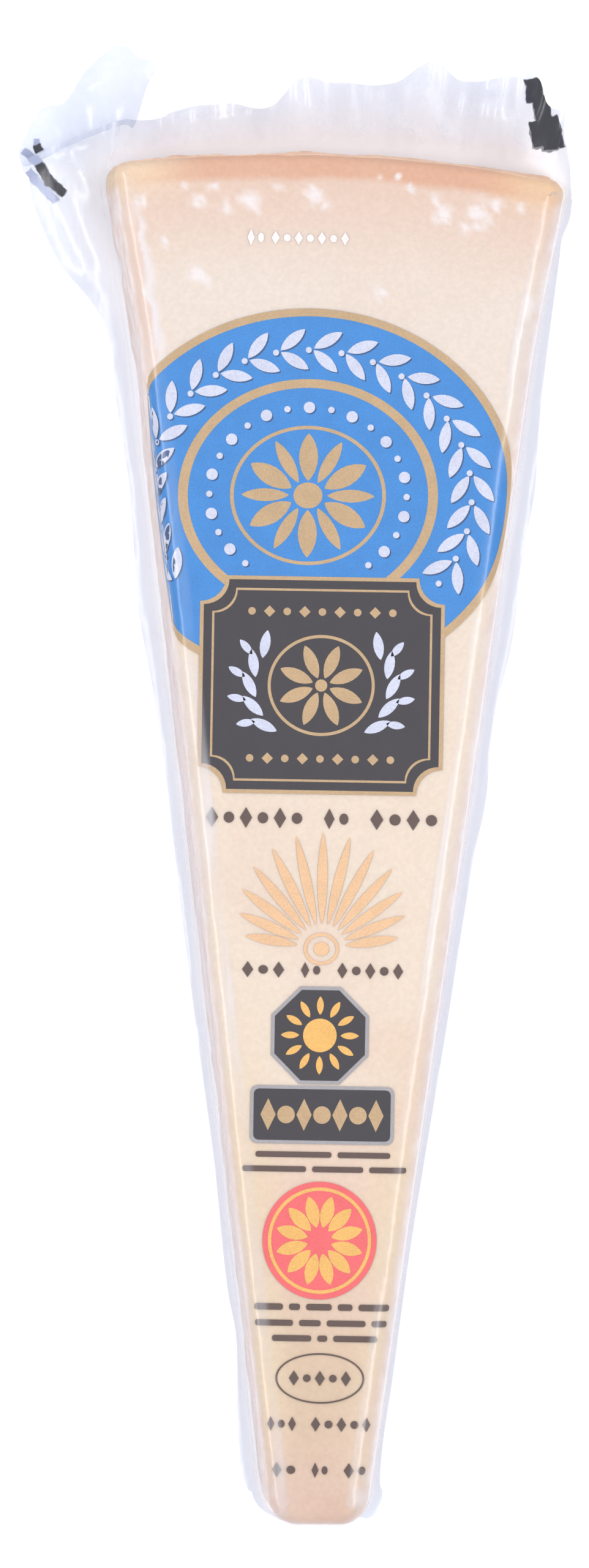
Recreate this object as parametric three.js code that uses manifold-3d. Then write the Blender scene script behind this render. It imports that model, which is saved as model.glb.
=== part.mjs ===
// A wedge of hard cheese, shrink-wrapped in clear film and lying on its cut face.
// Millimetres. +Y runs from the nose to the rind, +X to the right seen from above,
// +Z up. The origin is on the flat underside, on the wedge's own axis.

import * as THREE from 'three';
import { LoftGeometry } from 'three/addons/geometries/LoftGeometry.js';
import { mergeVertices } from 'three/addons/utils/BufferGeometryUtils.js';
import Module from 'manifold-3d';

// Driving dimensions of the cheese
const THICKNESS = 27;
const NOSE_Y = -97;
const NOSE_HALF_WIDTH = 6.2;
const NOSE_RADIUS = 4;
const SPREAD = 0.1257;
const FLARE = 1.3;
const FLARE_START_Y = 53;
const FLARE_END_Y = 83;
const RIND_RADIUS = 188.4;
const RIND_CENTRE = new THREE.Vector2(-5, -106.2);
const RIND_HALF_WIDTH = 29;
const CORNER_RADIUS = 1.6;

// How far each wall leans out at its foot, and how round its upper edge is
const LEFT_LEAN = 2;
const RIGHT_LEAN = 0.3;
const RIND_LEAN = 1.6;
const NOSE_LEAN_SHARE = 0.6;
const LEFT_EDGE_RADIUS = 1.6;
const RIGHT_EDGE_RADIUS = 2.6;
const RIND_EDGE_RADIUS = 1.2;
const FOOT_RADIUS = 1.5;

// The film's pinched fins: [place in mm or degrees, reach out from the upper edge in mm]
const NOSE_LEFT_FIN = [[0, 0.05], [24, 0.2], [45, 0.9], [72, 1.8], [90, 2.1]];
const LEFT_FIN = [[-94, 2.1], [-91.4, 2.9], [-84, 2.9], [-77, 2.2], [-72, 1.9], [-67.5, 2.3],
  [-50, 2.3], [-34, 2.7], [-18, 3], [4, 3.2], [14, 3.7], [22, 4.3], [30, 4.1], [40, 3.8],
  [52, 4.3], [59.5, 4.2], [64, 5.8], [69, 8.7], [73.7, 10.3], [79, 11.4]];
const LEFT_CORNER_FIN = [[0, 11.4], [6, 12.4], [16, 10.6], [28, 8.3], [39, 7.2], [54, 6.3],
  [90, 6.2]];
const TAIL = [[-28, 6.2], [-23, 5.9], [-22, 6.4], [-14.5, 7.3], [-9, 6.8], [-5.6, 10.4],
  [-1, 10.1], [6.5, 10.6], [9.6, 13.2], [11.3, 13.7], [14.3, 11.6], [16, 11.7], [21, 13.2],
  [24, 13.2], [25.3, 10.4], [27.7, 9.8]];
const RIGHT_CORNER_FIN = [[0, 1.1], [40, 1.8], [62, 3.6], [74, 5.6], [84, 8.6], [90, 9.8]];
const RIGHT_FIN = [[-94, 1.8], [-91, 1.2], [-77, 1], [-62, 0.9], [-49, 1.1], [-33, 1.5],
  [-17, 1.7], [-9, 1.9], [-1.3, 2.4], [6.7, 1.9], [11, 2], [19, 2.8], [31, 2.6], [39, 3],
  [47, 2.4], [60, 1.8], [70, 1.1], [72.5, 0.9], [75, 1.4], [79, 1.1]];
const NOSE_RIGHT_FIN = [[0, 0.05], [36, 0.2], [45, 1.3], [72, 1.8], [90, 1.8]];
const FILM_THICKNESS = 1;
const LEAST_FIN = 0.25;

// Height of the fins' tips, and how far above them the film leaves the wall
const FIN_Z = 9;
const RIND_FIN_Z = 12;
const SIDE_HOLLOW = 4;
const RIND_HOLLOW = 9;

// Handles of the film's hollow curves: a share of the reach, then either a share of the
// hollow's height or a height off the fin in mm
const WALL_HANDLE = { reach: 0.08, rise: 0.4, drop: 0.6, clearOfFoot: 1 };
const TIP_HANDLE = { reach: 0.4, off: 0.6 };

// Waves of the crimped tail's seal: [height, turns per mm, start], both in radians
const TAIL_WAVES = [[1.1, 0.55, 0], [0.6, 1.3, 1]];

// The loose ear of film behind the left corner
const EAR_POINTS = [[-27.3, 86.2], [-25.7, 91.3], [-24.7, 93.3], [-24.8, 94.6], [-27, 95.3],
  [-28.2, 96.5], [-30.1, 96.5], [-33.5, 93.6], [-35.3, 90.7], [-36.7, 88.9], [-39, 88.3],
  [-40.4, 86.8], [-42.2, 83], [-42.2, 81], [-40.6, 78.9], [-33, 78], [-29, 81]];
const EAR_Z = 10;
const EAR_THICKNESS = 1.2;

// Fineness of the mesh
const STATIONS = { nose: 6, side: 50, corner: 11, rind: 48 };
const EDGE_STEPS = 3;
const FOLD_STEPS = 7;

const NOSE_END_Y = NOSE_Y + NOSE_RADIUS;
const { degToRad, lerp, smoothstep } = THREE.MathUtils;

// Half the width of the upper face at a distance along the axis
function halfWidth(y) {
  const flare = FLARE * smoothstep(y, FLARE_START_Y, FLARE_END_Y);
  return NOSE_HALF_WIDTH + SPREAD * (y - NOSE_Y) + flare;
}

// Height of the rind's arc over a place across the wedge
function rindY(x) {
  return RIND_CENTRE.y + Math.sqrt(RIND_RADIUS ** 2 - (x - RIND_CENTRE.x) ** 2);
}

const cornerY = (side) => rindY(side * RIND_HALF_WIDTH) - CORNER_RADIUS;
const edgeOf = (side) => (side < 0 ? LEFT_EDGE_RADIUS : RIGHT_EDGE_RADIUS);
const leanOf = (side) => (side < 0 ? LEFT_LEAN : RIGHT_LEAN);

// Smooth curve through a list of [place, value]
function curveThrough(keys) {
  const places = keys.map(([place]) => place);
  const values = keys.map(([, value]) => value);
  const curve = new THREE.CubicInterpolant(places, values, 1);
  return (place) => curve.evaluate(place)[0];
}

// Shares of a stretch, from nose to rind on the left and back again on the right
function shares(side, count) {
  return Array.from({ length: count }, (_, i) => (side < 0 ? i / count : 1 - i / count));
}

// Stations round the upper face, clockwise from the nose, each with its outward
// direction and the form of the wall and film below it
function nose(side) {
  const centre = new THREE.Vector2(side * (halfWidth(NOSE_END_Y) - NOSE_RADIUS), NOSE_END_Y);
  const reachAt = curveThrough(side < 0 ? NOSE_LEFT_FIN : NOSE_RIGHT_FIN);
  return shares(side, STATIONS.nose).map((share) => {
    const angle = share * Math.PI / 2;
    const out = new THREE.Vector2(side * Math.sin(angle), -Math.cos(angle));
    return {
      at: centre.clone().addScaledVector(out, NOSE_RADIUS), out,
      reach: reachAt(share * 90),
      lean: share * NOSE_LEAN_SHARE * leanOf(side),
      edge: lerp(LEFT_EDGE_RADIUS, edgeOf(side), share),
      finZ: FIN_Z, hollow: SIDE_HOLLOW,
    };
  });
}

function longSide(side) {
  const reachAt = curveThrough(side < 0 ? LEFT_FIN : RIGHT_FIN);
  return shares(side, STATIONS.side).map((share) => {
    const y = lerp(NOSE_END_Y, cornerY(side), share);
    const slope = halfWidth(y + 0.5) - halfWidth(y - 0.5);
    return {
      at: new THREE.Vector2(side * halfWidth(y), y),
      out: new THREE.Vector2(side, -slope).normalize(),
      reach: reachAt(y),
      lean: leanOf(side) * (side < 0 ? lerp(NOSE_LEAN_SHARE, 1, share) : 1),
      edge: edgeOf(side),
      finZ: lerp(FIN_Z, RIND_FIN_Z, share ** 2), hollow: SIDE_HOLLOW,
    };
  });
}

// The fins at a corner fan out only as far as the rind's own outward direction
function corner(side) {
  const reachAt = curveThrough(side < 0 ? LEFT_CORNER_FIN : RIGHT_CORNER_FIN);
  const y = cornerY(side);
  const centre = new THREE.Vector2(side * (halfWidth(y) - CORNER_RADIUS), y);
  const last = Math.acos(Math.abs(centre.x - RIND_CENTRE.x) / RIND_RADIUS);
  const towards = (angle) => new THREE.Vector2(side * Math.cos(angle), Math.sin(angle));
  return shares(side, STATIONS.corner).map((share) => {
    const angle = share * Math.PI / 2;
    return {
      at: centre.clone().addScaledVector(towards(angle), CORNER_RADIUS),
      out: towards(Math.min(angle, last)),
      reach: reachAt(share * 90),
      lean: lerp(leanOf(side), RIND_LEAN, share),
      edge: lerp(edgeOf(side), RIND_EDGE_RADIUS, share),
      finZ: RIND_FIN_Z, hollow: lerp(SIDE_HOLLOW, RIND_HOLLOW, share),
    };
  });
}

function rind() {
  const reachAt = curveThrough(TAIL);
  const left = -halfWidth(cornerY(-1)) + CORNER_RADIUS;
  const right = halfWidth(cornerY(1)) - CORNER_RADIUS;
  return shares(-1, STATIONS.rind).map((share) => {
    const x = lerp(left, right, share);
    const at = new THREE.Vector2(x, rindY(x));
    const wave = TAIL_WAVES.reduce((sum, [height, turns, start]) => (
      sum + height * Math.sin(x * turns + start)), 0);
    return {
      at, out: at.clone().sub(RIND_CENTRE).normalize(),
      reach: reachAt(x),
      lean: RIND_LEAN, edge: RIND_EDGE_RADIUS,
      finZ: RIND_FIN_Z + wave, hollow: RIND_HOLLOW,
    };
  });
}

// Outline of one upright cut through wall and film: pairs of reach and height, top to foot.
// The film follows the wall down, leaves it in a hollow curve to the fin's tip and comes
// back under the fin to the foot.
function profile({ reach, lean, edge, finZ, hollow }) {
  const points = [];
  for (let i = 0; i <= EDGE_STEPS; i++) {
    const angle = degToRad(90 * i / EDGE_STEPS);
    points.push([edge * (Math.sin(angle) - 1), THICKNESS + edge * (Math.cos(angle) - 1)]);
  }
  const wallAt = (z) => lean * (THICKNESS - z) / THICKNESS;
  const leave = new THREE.Vector2(wallAt(finZ + hollow), finZ + hollow);
  const tip = new THREE.Vector2(Math.max(reach, lean + LEAST_FIN), finZ + FILM_THICKNESS / 2);
  const span = tip.x - leave.x;
  const upper = new THREE.CubicBezierCurve(
    leave,
    new THREE.Vector2(leave.x + WALL_HANDLE.reach * span, finZ + WALL_HANDLE.rise * hollow),
    new THREE.Vector2(leave.x + TIP_HANDLE.reach * span, finZ + TIP_HANDLE.off),
    tip,
  );
  const under = tip.clone().setY(finZ - FILM_THICKNESS / 2);
  const foot = new THREE.Vector2(lean, FOOT_RADIUS);
  const lowest = FOOT_RADIUS + WALL_HANDLE.clearOfFoot;
  const lower = new THREE.CubicBezierCurve(
    under,
    new THREE.Vector2(lean + TIP_HANDLE.reach * span, finZ - TIP_HANDLE.off),
    new THREE.Vector2(lean, Math.max(finZ - WALL_HANDLE.drop * hollow, lowest)),
    foot,
  );
  for (const point of upper.getPoints(FOLD_STEPS)) points.push(point.toArray());
  for (const point of lower.getPoints(FOLD_STEPS - 2)) points.push(point.toArray());
  const middle = FOOT_RADIUS * (1 - Math.SQRT1_2);
  points.push([lean - middle, middle], [lean - FOOT_RADIUS, 0]);
  return points;
}

// Closed skin of the pack, lofted level by level from the top face to the underside
function packGeometry() {
  const stations = [
    ...nose(-1), ...longSide(-1), ...corner(-1), ...rind(),
    ...corner(1), ...longSide(1), ...nose(1),
  ];
  const cuts = stations.map(profile);
  const levels = cuts[0].map((_, level) => stations.map(({ at, out }, i) => {
    const [reach, z] = cuts[i][level];
    return new THREE.Vector3(at.x + out.x * reach, at.y + out.y * reach, z);
  }));
  return new LoftGeometry(levels, { capStart: true, capEnd: true });
}

// Flat ear of film with an uneven rounded outline
function earGeometry() {
  const outline = new THREE.SplineCurve(EAR_POINTS.map(([x, y]) => new THREE.Vector2(x, y)));
  const shape = new THREE.Shape(outline.getPoints(3 * EAR_POINTS.length));
  const settings = { depth: EAR_THICKNESS, bevelEnabled: false, steps: 1 };
  return new THREE.ExtrudeGeometry(shape, settings).translate(0, 0, EAR_Z);
}

// Solids for joining, and back again
const wasm = await Module();
wasm.setup();

function toSolid(geometry) {
  const bare = new THREE.BufferGeometry().copy(geometry);
  bare.deleteAttribute('normal');
  bare.deleteAttribute('uv');
  const merged = mergeVertices(bare, 1e-4);
  return new wasm.Manifold(new wasm.Mesh({
    numProp: 3,
    vertProperties: new Float32Array(merged.getAttribute('position').array),
    triVerts: new Uint32Array(merged.getIndex().array),
  }));
}

function toGeometry(solid) {
  const { vertProperties, triVerts } = solid.getMesh();
  const geometry = new THREE.BufferGeometry();
  geometry.setAttribute('position', new THREE.BufferAttribute(vertProperties, 3));
  geometry.setIndex(new THREE.BufferAttribute(triVerts, 1));
  geometry.computeVertexNormals();
  return geometry;
}

function filmPack() {
  const material = new THREE.MeshStandardMaterial({
    color: 0xf0dccb, roughness: 0.25, metalness: 0,
  });
  const solid = toSolid(packGeometry()).add(toSolid(earGeometry()));
  const mesh = new THREE.Mesh(toGeometry(solid), material);
  mesh.name = 'film_pack';
  return mesh;
}

const wedge = new THREE.Group();
wedge.add(filmPack());

export default wedge;
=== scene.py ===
"""A wedge of hard cheese sealed in clear printed shrink film, lying with its printed face up."""

import math
from collections import namedtuple

import bmesh
import bpy
from bpy.props import FloatProperty, FloatVectorProperty, PointerProperty
from mathutils import Matrix, Vector, noise


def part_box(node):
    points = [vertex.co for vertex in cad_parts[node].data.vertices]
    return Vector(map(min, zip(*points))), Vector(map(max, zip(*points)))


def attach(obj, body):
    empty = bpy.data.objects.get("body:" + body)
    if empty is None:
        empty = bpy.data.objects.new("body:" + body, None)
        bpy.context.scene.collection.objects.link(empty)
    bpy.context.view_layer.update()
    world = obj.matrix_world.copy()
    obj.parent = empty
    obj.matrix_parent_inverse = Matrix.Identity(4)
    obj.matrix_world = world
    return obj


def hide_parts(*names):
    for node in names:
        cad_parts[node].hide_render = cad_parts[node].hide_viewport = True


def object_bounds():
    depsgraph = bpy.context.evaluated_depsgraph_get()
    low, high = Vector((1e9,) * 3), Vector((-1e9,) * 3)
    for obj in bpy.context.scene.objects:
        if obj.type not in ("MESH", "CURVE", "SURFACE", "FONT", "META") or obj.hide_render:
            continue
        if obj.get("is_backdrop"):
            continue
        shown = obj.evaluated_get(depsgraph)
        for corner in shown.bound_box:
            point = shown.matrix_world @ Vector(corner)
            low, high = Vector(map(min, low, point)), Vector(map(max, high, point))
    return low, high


bl_info = {
    "name": "Shrink-wrapped cheese wedge",
    "version": (1, 0, 0),
    "blender": (4, 5, 0),
    "location": "3D View > Sidebar > Wedge",
    "description": "Builds a wedge of hard cheese sealed in clear printed shrink film",
    "category": "Add Mesh",
}

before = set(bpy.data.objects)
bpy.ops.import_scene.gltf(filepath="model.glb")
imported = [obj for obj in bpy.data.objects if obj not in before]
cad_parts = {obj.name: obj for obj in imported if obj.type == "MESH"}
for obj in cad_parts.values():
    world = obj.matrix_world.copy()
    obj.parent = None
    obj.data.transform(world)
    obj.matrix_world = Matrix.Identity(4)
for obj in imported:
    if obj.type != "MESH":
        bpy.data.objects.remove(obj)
CAD_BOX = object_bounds()

# Lengths in this script are millimetres, and become metres where a mesh is finished
MM = 0.001
SHARP_ANGLE = 50
PACK_LOW, PACK_HIGH = (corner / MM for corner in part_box("film_pack"))

# Form of the cheese, as the solid has it
THICKNESS = PACK_HIGH.z
NOSE_Y = PACK_LOW.y + 0.3
NOSE_HALF_WIDTH = 6.2
NOSE_RADIUS = 4
NOSE_END_Y = NOSE_Y + NOSE_RADIUS
SPREAD = 0.1257
FLARE = 1.3
FLARE_START_Y = 53
FLARE_END_Y = 83
RIND_RADIUS = 188.4
RIND_CENTRE = Vector((-5, -106.2))
CORNER_RADIUS = 1.6
LEFT_LEAN = 2
RIGHT_LEAN = 0.3
RIND_LEAN = 1.6
LEFT_EDGE_RADIUS = 1.6
RIGHT_EDGE_RADIUS = 2.6
RIND_EDGE_RADIUS = 1.2
FOOT_RADIUS = 1.5

# Reach of the film's fins out from the upper edge: (place in mm or degrees, reach in mm)
NOSE_LEFT_FIN = ((0, 0.05), (24, 0.2), (45, 0.9), (72, 1.8), (90, 2.1))
LEFT_FIN = (
    (-94, 2.1), (-91.4, 2.9), (-84, 2.9), (-77, 2.2), (-72, 1.9), (-67.5, 2.3), (-50, 2.3),
    (-34, 2.7), (-18, 3), (4, 3.2), (14, 3.7), (22, 4.3), (30, 4.1), (40, 3.8), (52, 4.3),
    (59.5, 4.2), (64, 5.8), (69, 8.7), (73.7, 10.3), (79, 11.4),
)
LEFT_CORNER_FIN = ((0, 11.4), (6, 12.4), (16, 10.6), (28, 8.3), (39, 7.2), (54, 6.3), (90, 6.2))
TAIL = (
    (-28, 6.2), (-23, 5.9), (-22, 6.4), (-14.5, 7.3), (-9, 6.8), (-5.6, 10.4), (-1, 10.1),
    (6.5, 10.6), (9.6, 13.2), (11.3, 13.7), (14.3, 11.6), (16, 11.7), (21, 13.2), (24, 13.2),
    (25.3, 10.4), (27.7, 9.8),
)
RIGHT_CORNER_FIN = ((0, 1.1), (40, 1.8), (62, 3.6), (74, 5.6), (84, 8.6), (90, 9.8))
RIGHT_FIN = (
    (-94, 1.8), (-91, 1.2), (-77, 1), (-62, 0.9), (-49, 1.1), (-33, 1.5), (-17, 1.7), (-9, 1.9),
    (-1.3, 2.4), (6.7, 1.9), (11, 2), (19, 2.8), (31, 2.6), (39, 3), (47, 2.4), (60, 1.8),
    (70, 1.1), (72.5, 0.9), (75, 1.4), (79, 1.1),
)
NOSE_RIGHT_FIN = ((0, 0.05), (36, 0.2), (45, 1.3), (72, 1.8), (90, 1.8))

# Waves of the tail's seal: rise, turn for each millimetre, start
TAIL_WAVES = ((1.1, 0.55, 0), (0.6, 1.3, 1))
FIN_Z = 9
RIND_FIN_Z = 12
SIDE_HOLLOW = 4
RIND_HOLLOW = 9

# Where a fin's sheets leave the wall and run flat, as shares of its reach and hollow
FALL_REACH = 0.08
FALL_HOLLOW = 0.4
FLAT_REACH = 0.4
FLAT_GAP = 0.45
FOOT_HOLLOW = 0.6

EAR_OUTLINE = (
    (-27.3, 86.2), (-25.7, 91.3), (-24.7, 93.3), (-24.8, 94.6), (-27, 95.3), (-28.2, 96.5),
    (-30.1, 96.5), (-33.5, 93.6), (-35.3, 90.7), (-36.7, 88.9), (-39, 88.3), (-40.4, 86.8),
    (-42.2, 83), (-42.1, 81.4), (-41, 80.7), (-35, 83.8), (-28.8, 86.3),
)
EAR_Z = 10.4
RIND_HALF_WIDTH = 29
NOSE_LEAN_SHARE = 0.6
LEAST_FIN = 0.25

# How far the face falls towards its edges, and over how wide a border
SHOULDER_DROP = 0.25
SHOULDER_WIDTH = 3.2

# Stations along the nose, a side, a corner and the rind, at a fineness of 1
STATION_COUNTS = (14, 170, 34, 250)

# How loose and folded the film is along the nose and the long sides, where the tail is 1
TAME = 0.25

Station = namedtuple("Station", "x y out reach lean edge fin_z hollow wild")


def smoothstep(value, low, high):
    share = min(max((value - low) / (high - low), 0), 1)
    return share * share * (3 - 2 * share)


def lerp(a, b, share):
    return a + (b - a) * share


def at_place(keys, place):
    """Value on a smooth curve through a list of (place, value)."""
    place = min(max(place, keys[0][0]), keys[-1][0])
    slopes = [(end[1] - start[1]) / (end[0] - start[0]) for start, end in zip(keys, keys[1:])]
    i = next(n for n in range(len(slopes)) if place <= keys[n + 1][0])
    span = keys[i + 1][0] - keys[i][0]
    share = (place - keys[i][0]) / span
    leaving = (slopes[max(i - 1, 0)] + slopes[i]) / 2 * span
    arriving = (slopes[i] + slopes[min(i + 1, len(slopes) - 1)]) / 2 * span
    eased = lerp(keys[i][1], keys[i + 1][1], smoothstep(share, 0, 1))
    return eased + share * (1 - share) * ((1 - share) * leaving - share * arriving)


def half_width(y):
    flare = FLARE * smoothstep(y, FLARE_START_Y, FLARE_END_Y)
    return NOSE_HALF_WIDTH + SPREAD * (y - NOSE_Y) + flare


def rind_y(x):
    return RIND_CENTRE.y + math.sqrt(RIND_RADIUS**2 - (x - RIND_CENTRE.x) ** 2)


def corner_y(side):
    return rind_y(side * RIND_HALF_WIDTH) - CORNER_RADIUS


def shares(side, count):
    """Shares of a stretch, from nose to rind on the left and back on the right."""
    return [i / count if side < 0 else 1 - i / count for i in range(count)]


def side_edge(side):
    return LEFT_EDGE_RADIUS if side < 0 else RIGHT_EDGE_RADIUS


def nose_stations(side, count):
    centre_x = side * (half_width(NOSE_END_Y) - NOSE_RADIUS)
    for share in shares(side, count):
        angle = share * math.pi / 2
        out = Vector((side * math.sin(angle), -math.cos(angle)))
        reach = at_place(NOSE_LEFT_FIN if side < 0 else NOSE_RIGHT_FIN, share * 90)
        lean = share * NOSE_LEAN_SHARE * (LEFT_LEAN if side < 0 else RIGHT_LEAN)
        edge = lerp(LEFT_EDGE_RADIUS, side_edge(side), share)
        x, y = centre_x + out.x * NOSE_RADIUS, NOSE_END_Y + out.y * NOSE_RADIUS
        yield Station(x, y, out, reach, lean, edge, FIN_Z, SIDE_HOLLOW, TAME)


def side_stations(side, count):
    fins = LEFT_FIN if side < 0 else RIGHT_FIN
    for share in shares(side, count):
        y = lerp(NOSE_END_Y, corner_y(side), share)
        out = Vector((side, half_width(y - 0.5) - half_width(y + 0.5))).normalized()
        lean = LEFT_LEAN * lerp(NOSE_LEAN_SHARE, 1, share) if side < 0 else RIGHT_LEAN
        fin_z = lerp(FIN_Z, RIND_FIN_Z, share**2)
        wild = lerp(TAME, 1, smoothstep(y, 55, 75)) if side < 0 else TAME
        yield Station(
            side * half_width(y), y, out, at_place(fins, y), lean, side_edge(side), fin_z,
            SIDE_HOLLOW, wild,
        )


def corner_stations(side, count):
    y = corner_y(side)
    centre_x = side * (half_width(y) - CORNER_RADIUS)
    # The rind meets the corner a little before the corner's quarter turn is over
    last = math.acos(abs(centre_x - RIND_CENTRE.x) / RIND_RADIUS)
    for share in shares(side, count):
        angle = share * math.pi / 2
        place = Vector((side * math.cos(angle), math.sin(angle))) * CORNER_RADIUS
        out = Vector((side * math.cos(min(angle, last)), math.sin(min(angle, last))))
        fins = LEFT_CORNER_FIN if side < 0 else RIGHT_CORNER_FIN
        lean = lerp(LEFT_LEAN if side < 0 else RIGHT_LEAN, RIND_LEAN, share)
        yield Station(
            centre_x + place.x, y + place.y, out,
            at_place(fins, share * 90), lean, lerp(side_edge(side), RIND_EDGE_RADIUS, share),
            RIND_FIN_Z, lerp(SIDE_HOLLOW, RIND_HOLLOW, share),
            1 if side < 0 else lerp(TAME, 1, share),
        )


def tail_wave(x):
    """Rise and fall of the crimped tail's seal across the wedge."""
    return sum(rise * math.sin(x * turn + start) for rise, turn, start in TAIL_WAVES)


def rind_stations(count):
    left = -half_width(corner_y(-1)) + CORNER_RADIUS
    right = half_width(corner_y(1)) - CORNER_RADIUS
    for i in range(count):
        x = lerp(left, right, i / count)
        y = rind_y(x)
        out = (Vector((x, y)) - RIND_CENTRE).normalized()
        yield Station(
            x, y, out, at_place(TAIL, x), RIND_LEAN, RIND_EDGE_RADIUS,
            RIND_FIN_Z + tail_wave(x), RIND_HOLLOW, 1,
        )


def contour(fineness):
    """Stations all round the upper face, clockwise from the nose."""
    nose, side, corner, rind = (round(count * fineness) for count in STATION_COUNTS)
    return [
        *nose_stations(-1, nose), *side_stations(-1, side), *corner_stations(-1, corner),
        *rind_stations(rind),
        *corner_stations(1, corner), *side_stations(1, side), *nose_stations(1, nose),
    ]


def wall_reach(station, z):
    """How far the leaning wall stands out from the upper edge at a height."""
    return station.lean * (THICKNESS - z) / THICKNESS


def shoulder(inset):
    """Fall of the face at a distance inside its outline."""
    share = 1 - min(inset / SHOULDER_WIDTH, 1)
    return SHOULDER_DROP * share * share


def inner_corner(side, inset):
    """Corner by the rind of the outline drawn in by an inset."""
    y = corner_y(side)
    for _ in range(8):
        x = side * (half_width(y) - inset)
        y = RIND_CENTRE.y + math.sqrt((RIND_RADIUS - inset) ** 2 - (x - RIND_CENTRE.x) ** 2)
    return Vector((x, y))


def inset_place(station, inset):
    """Place inside the outline; what would pass a corner of the inner outline ends in it."""
    at = Vector((station.x, station.y)) - station.out * inset
    side = -1 if station.x < 0 else 1
    past_side = abs(at.x) - half_width(at.y) + inset
    if station.y > 0:
        past_rind = (at - RIND_CENTRE).length - RIND_RADIUS + inset
        if max(past_side, past_rind) > 0.001:
            return inner_corner(side, inset)
    return at


def place_at(station, reach):
    """Place at a reach from the upper edge, inside the outline where it is negative."""
    if reach < 0:
        return inset_place(station, -reach)
    return Vector((station.x, station.y)) + station.out * reach


def bezier(points, share):
    """Point of a cubic curve through pairs of (reach, z)."""
    rest = 1 - share
    weights = (rest**3, 3 * rest**2 * share, 3 * rest * share**2, share**3)
    return tuple(sum(w * p[axis] for w, p in zip(weights, points)) for axis in (0, 1))


def face_levels(station, top, steps):
    """Levels from the border of the face over its rounded edge, as (reach, z)."""
    for i in range(steps):
        inset = lerp(SHOULDER_WIDTH, station.edge, i / steps)
        yield -inset, top - shoulder(inset)
    drop = shoulder(station.edge)
    for i in range(steps):
        angle = math.pi / 2 * i / steps
        yield station.edge * (math.sin(angle) - 1), top - drop + station.edge * (math.cos(angle) - 1)


def foot_levels(station, bottom, steps):
    """Levels round the foot to the flat underside, as (reach, z)."""
    for i in range(steps + 1):
        angle = math.pi / 2 * i / steps
        yield (
            station.lean + FOOT_RADIUS * (math.cos(angle) - 1),
            bottom + FOOT_RADIUS * (1 - math.sin(angle)),
        )


def rolled_skin(bm, rings):
    """Rolls a flat grid through closed rings of points and shuts both ends."""
    columns = len(rings[0])
    bmesh.ops.create_grid(bm, x_segments=columns, y_segments=len(rings) - 1, size=1)
    bm.verts.ensure_lookup_table()
    for i, vert in enumerate(bm.verts):
        row, column = divmod(i, columns + 1)
        vert.co = rings[row][column % columns]
    bmesh.ops.remove_doubles(bm, verts=bm.verts, dist=1e-5)
    rims = [edge for edge in bm.edges if edge.is_boundary]
    bmesh.ops.holes_fill(bm, edges=rims, sides=0)
    bmesh.ops.recalc_face_normals(bm, faces=bm.faces)


def mesh_object(name, bm, material):
    """Turns a mesh in millimetres into an object in metres."""
    bmesh.ops.scale(bm, vec=Vector((MM, MM, MM)), verts=bm.verts)
    mesh = bpy.data.meshes.new(name)
    bm.to_mesh(mesh)
    bm.free()
    mesh.materials.append(material)
    made = bpy.data.objects.new(name, mesh)
    bpy.context.scene.collection.objects.link(made)
    return made


def finished(name, bm, material, slot):
    """Makes a mesh a piece that rides on the one body and stands for the pack."""
    piece = mesh_object(name, bm, material)
    piece.data.shade_smooth()
    piece.data.set_sharp_from_angle(angle=math.radians(SHARP_ANGLE))
    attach(piece, "root")
    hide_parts("film_pack")


# Node helpers


def new_material(name):
    material = bpy.data.materials.new(name)
    material.use_nodes = True
    material.node_tree.nodes.clear()
    return material, material.node_tree


def add_node(tree, kind, inputs=None, **settings):
    """Adds a shader node; an input given as a socket is linked, anything else is its value."""
    node = tree.nodes.new(kind)
    for key, value in settings.items():
        setattr(node, key, value)
    for key, value in (inputs or {}).items():
        if isinstance(value, bpy.types.NodeSocket):
            tree.links.new(value, node.inputs[key])
        else:
            node.inputs[key].default_value = value
    return node


def math_node(tree, operation, a, b=0.0, c=0.0, clamp=False):
    inputs = {0: a, 1: b, 2: c}
    node = add_node(tree, "ShaderNodeMath", inputs, operation=operation, use_clamp=clamp)
    return node.outputs[0]


def times(tree, a, b, clamp=False):
    return math_node(tree, "MULTIPLY", a, b, clamp=clamp)


def plus(tree, a, b):
    return math_node(tree, "ADD", a, b)


def vector_node(tree, operation, *inputs):
    node = add_node(tree, "ShaderNodeVectorMath", dict(enumerate(inputs)), operation=operation)
    return node.outputs["Value" if operation == "LENGTH" else "Vector"]


def attribute(tree, name):
    return add_node(tree, "ShaderNodeAttribute", attribute_name=name).outputs["Fac"]


def shaded(tree, colour, value):
    """Colour made lighter or darker by a value around 1."""
    node = add_node(tree, "ShaderNodeHueSaturation", {"Color": colour, "Value": value})
    return node.outputs["Color"]


def to_surface(tree, shader):
    add_node(tree, "ShaderNodeOutputMaterial", {"Surface": shader.outputs[0]})


def stretched(tree, value, low, high, to_low=0.0, to_high=1.0):
    """Smooth step of a value between two limits."""
    node = add_node(
        tree, "ShaderNodeMapRange",
        {"Value": value, "From Min": low, "From Max": high, "To Min": to_low, "To Max": to_high},
        interpolation_type="SMOOTHSTEP",
    )
    return node.outputs["Result"]


def mixed(tree, share, a, b):
    """Colour between a and b."""
    node = add_node(tree, "ShaderNodeMix", data_type="RGBA")
    for key, value in ((0, share), (6, a), (7, b)):
        if isinstance(value, bpy.types.NodeSocket):
            tree.links.new(value, node.inputs[key])
        elif key:
            node.inputs[key].default_value = (*value, 1)
        else:
            node.inputs[key].default_value = value
    return node.outputs[2]


def place_in_mm(tree):
    """Object coordinates in millimetres."""
    coordinates = add_node(tree, "ShaderNodeTexCoord").outputs["Object"]
    node = add_node(
        tree, "ShaderNodeVectorMath", {0: coordinates, "Scale": 1 / MM}, operation="SCALE"
    )
    return node.outputs["Vector"]


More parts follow.
